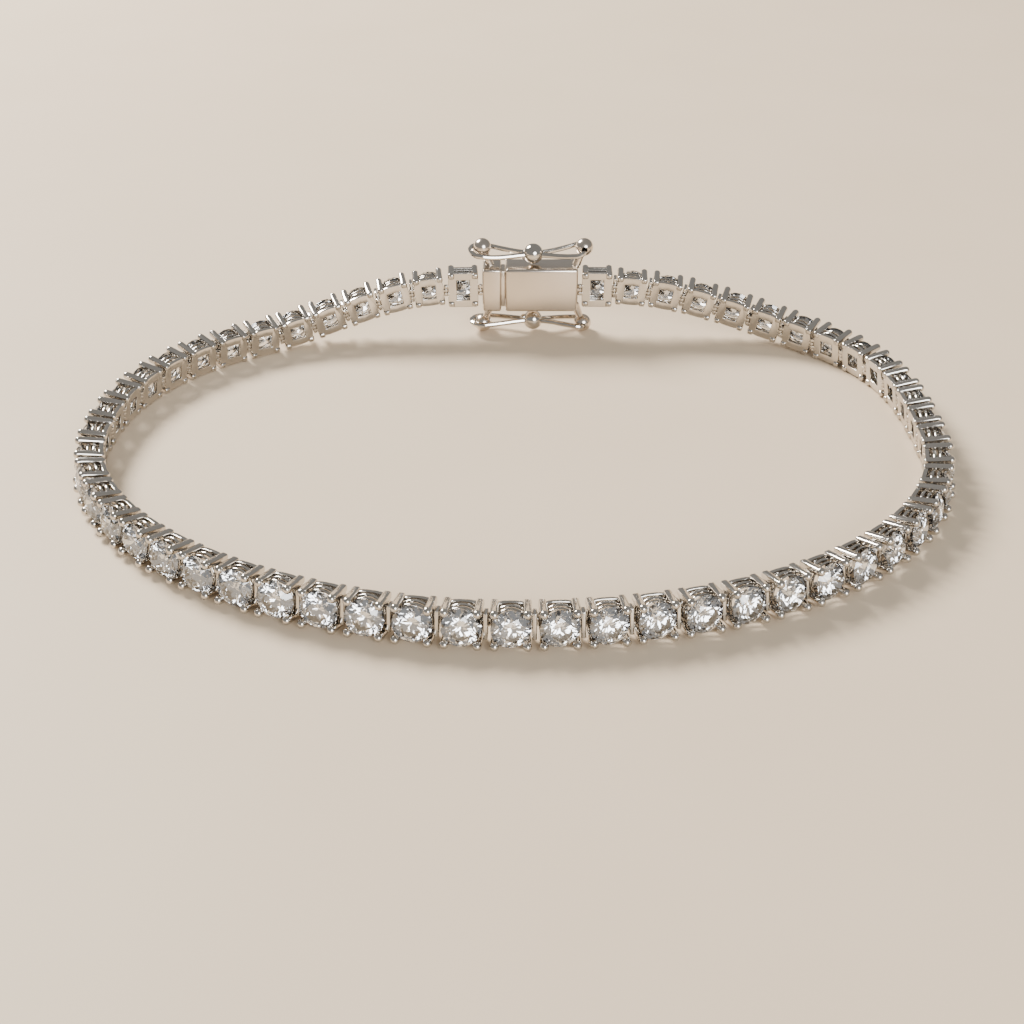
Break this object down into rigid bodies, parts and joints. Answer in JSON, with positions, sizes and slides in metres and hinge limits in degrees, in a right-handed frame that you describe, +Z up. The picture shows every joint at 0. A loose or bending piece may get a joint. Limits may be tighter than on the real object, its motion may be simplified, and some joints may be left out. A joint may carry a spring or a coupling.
{
  "type": "tennis bracelet",
  "caption": "Closed line bracelet of small four-prong settings with round stones, joined by a box clasp with a figure-eight safety catch over each long side.",
  "frame": {"origin": "under the middle of the closed bracelet, on the surface that it stands on", "axes": "+X along the bracelet's length, +Y from the front stretch of settings to the clasp, +Z up, across the width of the chain"},
  "size_m": [0.0682, 0.0504, 0.009],
  "materials": {
    "white_gold": "polished",
    "stone": "polished"
  },
  "bodies": {
    "bracelet": {"end_setting_left": "white_gold", "settings_run_01": "white_gold", "settings_run_02": "white_gold", "settings_run_03": "white_gold", "settings_run_04": "white_gold", "settings_run_05": "white_gold", "settings_run_06": "white_gold", "settings_run_07": "white_gold", "settings_run_08": "white_gold", "settings_run_09": "white_gold", "settings_run_10": "white_gold", "settings_run_11": "white_gold", "end_setting_right": "white_gold", "clasp_box": "white_gold", "clasp_tongue": "white_gold"},
    "upper_catch": {"upper_catch": "white_gold"},
    "lower_catch": {"lower_catch": "white_gold"}
  },
  "joints": [
    {"name": "upper_catch_hinge", "type": "hinge", "parent": "bracelet", "child": "upper_catch", "pos_m": [0.00639, 0.0239, 0.0082], "axis": [0, 1, 0], "range_deg": [0, 110]},
    {"name": "lower_catch_hinge", "type": "hinge", "parent": "bracelet", "child": "lower_catch", "pos_m": [0.00639, 0.0239, 0.0008], "axis": [0, -1, 0], "range_deg": [0, 110]}
  ]
}
